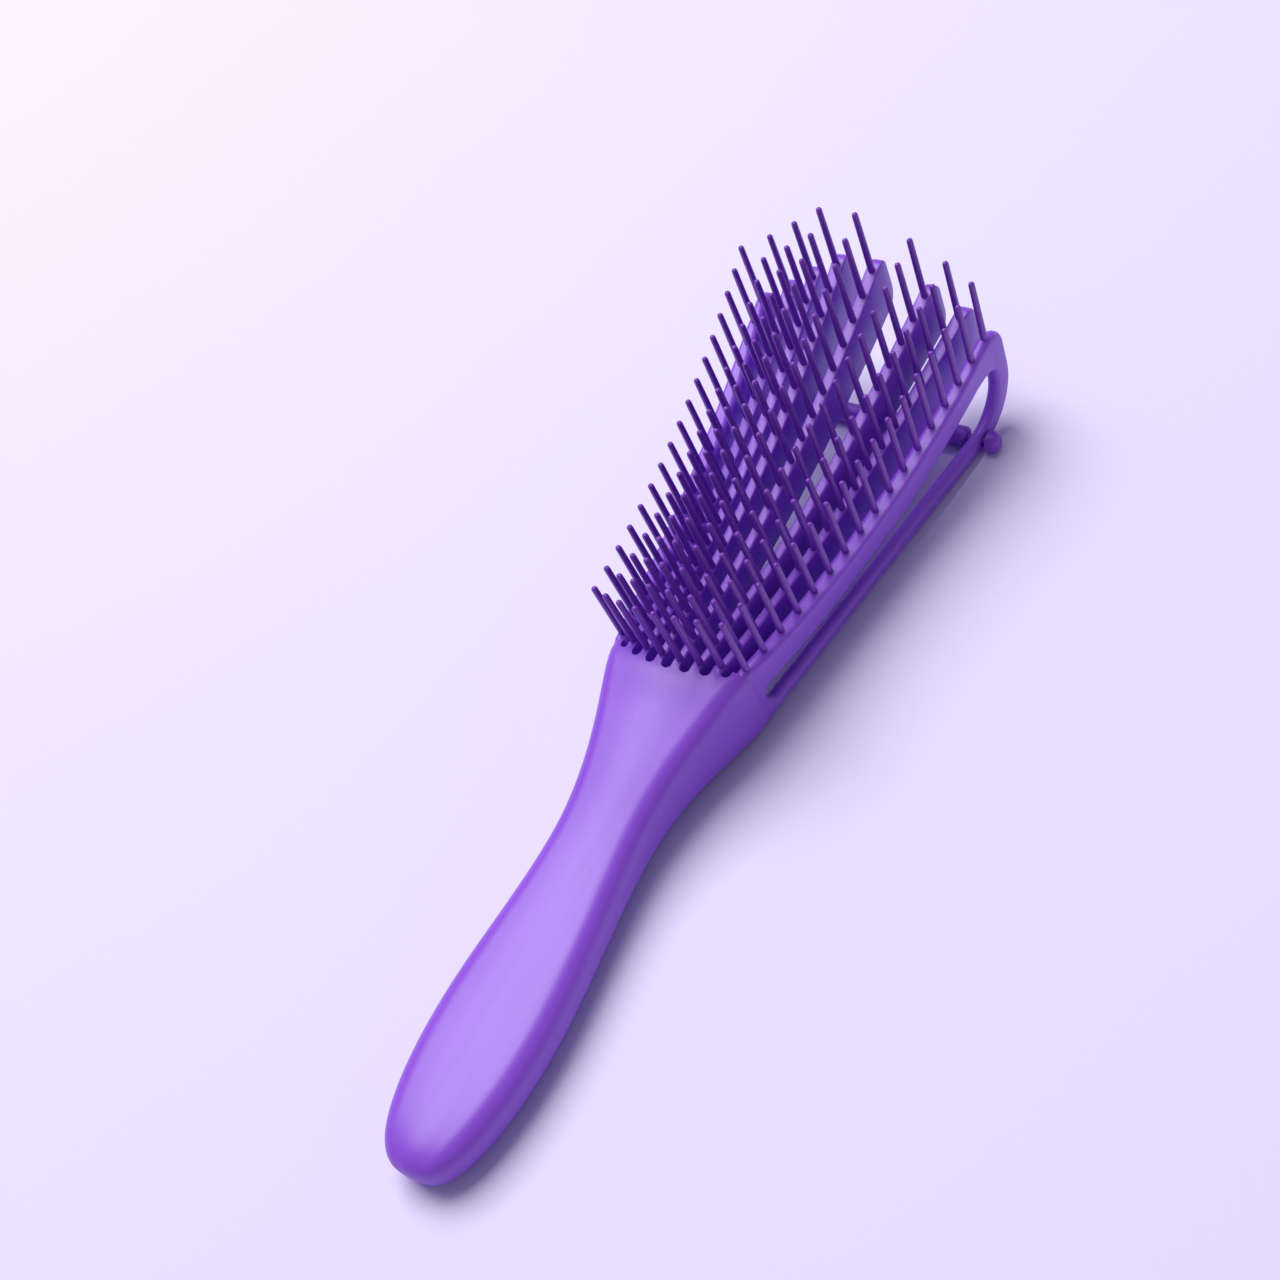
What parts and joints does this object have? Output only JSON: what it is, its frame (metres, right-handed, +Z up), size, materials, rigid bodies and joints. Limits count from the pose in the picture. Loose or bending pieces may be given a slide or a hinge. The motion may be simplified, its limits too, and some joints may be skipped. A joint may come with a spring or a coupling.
{
  "type": "detangling hair brush",
  "caption": "Vented detangling hair brush: bowed paddle handle, sprung fingers with rows of straight bristles, hooked back bars and a cross rod.",
  "frame": {"origin": "middle of the brush's footprint on the table, lying on its back", "axes": "+X along the brush towards the finger tips, +Y to the left side, +Z up, away from the table, roughly along the bristles"},
  "size_m": [0.2408, 0.0706, 0.0664],
  "materials": {
    "violet_plastic": "satin moulded polypropylene, violet"
  },
  "bodies": {
    "handle": {"handle": "violet_plastic"},
    "left_loop": {"finger_1": "violet_plastic", "bristles_1": "violet_plastic", "left_back_bar": "violet_plastic"},
    "finger_2_blade": {"finger_2": "violet_plastic", "bristles_2": "violet_plastic"},
    "finger_3_blade": {"finger_3": "violet_plastic", "bristles_3": "violet_plastic"},
    "finger_4_blade": {"finger_4": "violet_plastic", "bristles_4": "violet_plastic"},
    "finger_5_blade": {"finger_5": "violet_plastic", "bristles_5": "violet_plastic"},
    "finger_6_blade": {"finger_6": "violet_plastic", "bristles_6": "violet_plastic"},
    "finger_7_blade": {"finger_7": "violet_plastic", "bristles_7": "violet_plastic"},
    "right_loop": {"finger_8": "violet_plastic", "bristles_8": "violet_plastic", "right_back_bar": "violet_plastic"},
    "tie_rod": {"cross_rod": "violet_plastic"}
  },
  "joints": [
    {"name": "right_loop_sway", "type": "hinge", "parent": "handle", "child": "right_loop", "pos_m": [-0.00105, -0.0154, 0.02025], "axis": [-0.1327, 0, 0.9912], "range_deg": [-1.2, 1.2], "stiffness_Nm_per_rad": 1.2},
    {"name": "left_loop_sway", "type": "hinge", "parent": "handle", "child": "left_loop", "pos_m": [-0.00105, 0.0154, 0.02025], "axis": [-0.1327, 0, 0.9912], "range_deg": [-1.2, 1.2], "stiffness_Nm_per_rad": 1.2},
    {"name": "finger_2_sway", "type": "hinge", "parent": "handle", "child": "finger_2_blade", "pos_m": [-0.00105, 0.0113, 0.02025], "axis": [-0.1327, 0, 0.9912], "range_deg": [-2.6, 1.3], "stiffness_Nm_per_rad": 0.5},
    {"name": "finger_3_sway", "type": "hinge", "parent": "handle", "child": "finger_3_blade", "pos_m": [-0.00105, 0.0068, 0.02025], "axis": [-0.1327, 0, 0.9912], "range_deg": [-2.4, 2.6], "stiffness_Nm_per_rad": 0.5},
    {"name": "finger_4_sway", "type": "hinge", "parent": "handle", "child": "finger_4_blade", "pos_m": [-0.00105, 0.0023, 0.02025], "axis": [-0.1327, 0, 0.9912], "range_deg": [-2.6, 2.4], "stiffness_Nm_per_rad": 0.5},
    {"name": "finger_5_sway", "type": "hinge", "parent": "handle", "child": "finger_5_blade", "pos_m": [-0.00105, -0.0023, 0.02025], "axis": [-0.1327, 0, 0.9912], "range_deg": [-3, 2.6], "stiffness_Nm_per_rad": 0.5},
    {"name": "finger_6_sway", "type": "hinge", "parent": "handle", "child": "finger_6_blade", "pos_m": [-0.00105, -0.0068, 0.02025], "axis": [-0.1327, 0, 0.9912], "range_deg": [-1.5, 3], "stiffness_Nm_per_rad": 0.5},
    {"name": "finger_7_sway", "type": "hinge", "parent": "handle", "child": "finger_7_blade", "pos_m": [-0.00105, -0.0113, 0.02025], "axis": [-0.1327, 0, 0.9912], "range_deg": [-2.4, 1.5], "stiffness_Nm_per_rad": 0.5},
    {"name": "cross_rod_shift", "type": "slide", "parent": "handle", "child": "tie_rod", "axis": [0, 1, 0], "range_m": [-0.00213, 0.00213]}
  ],
  "couplings": [
    {"joint": "left_loop_sway", "follows": "right_loop_sway", "ratio": 1},
    {"joint": "cross_rod_shift", "follows": "right_loop_sway", "m_per_rad": 0.1008}
  ]
}
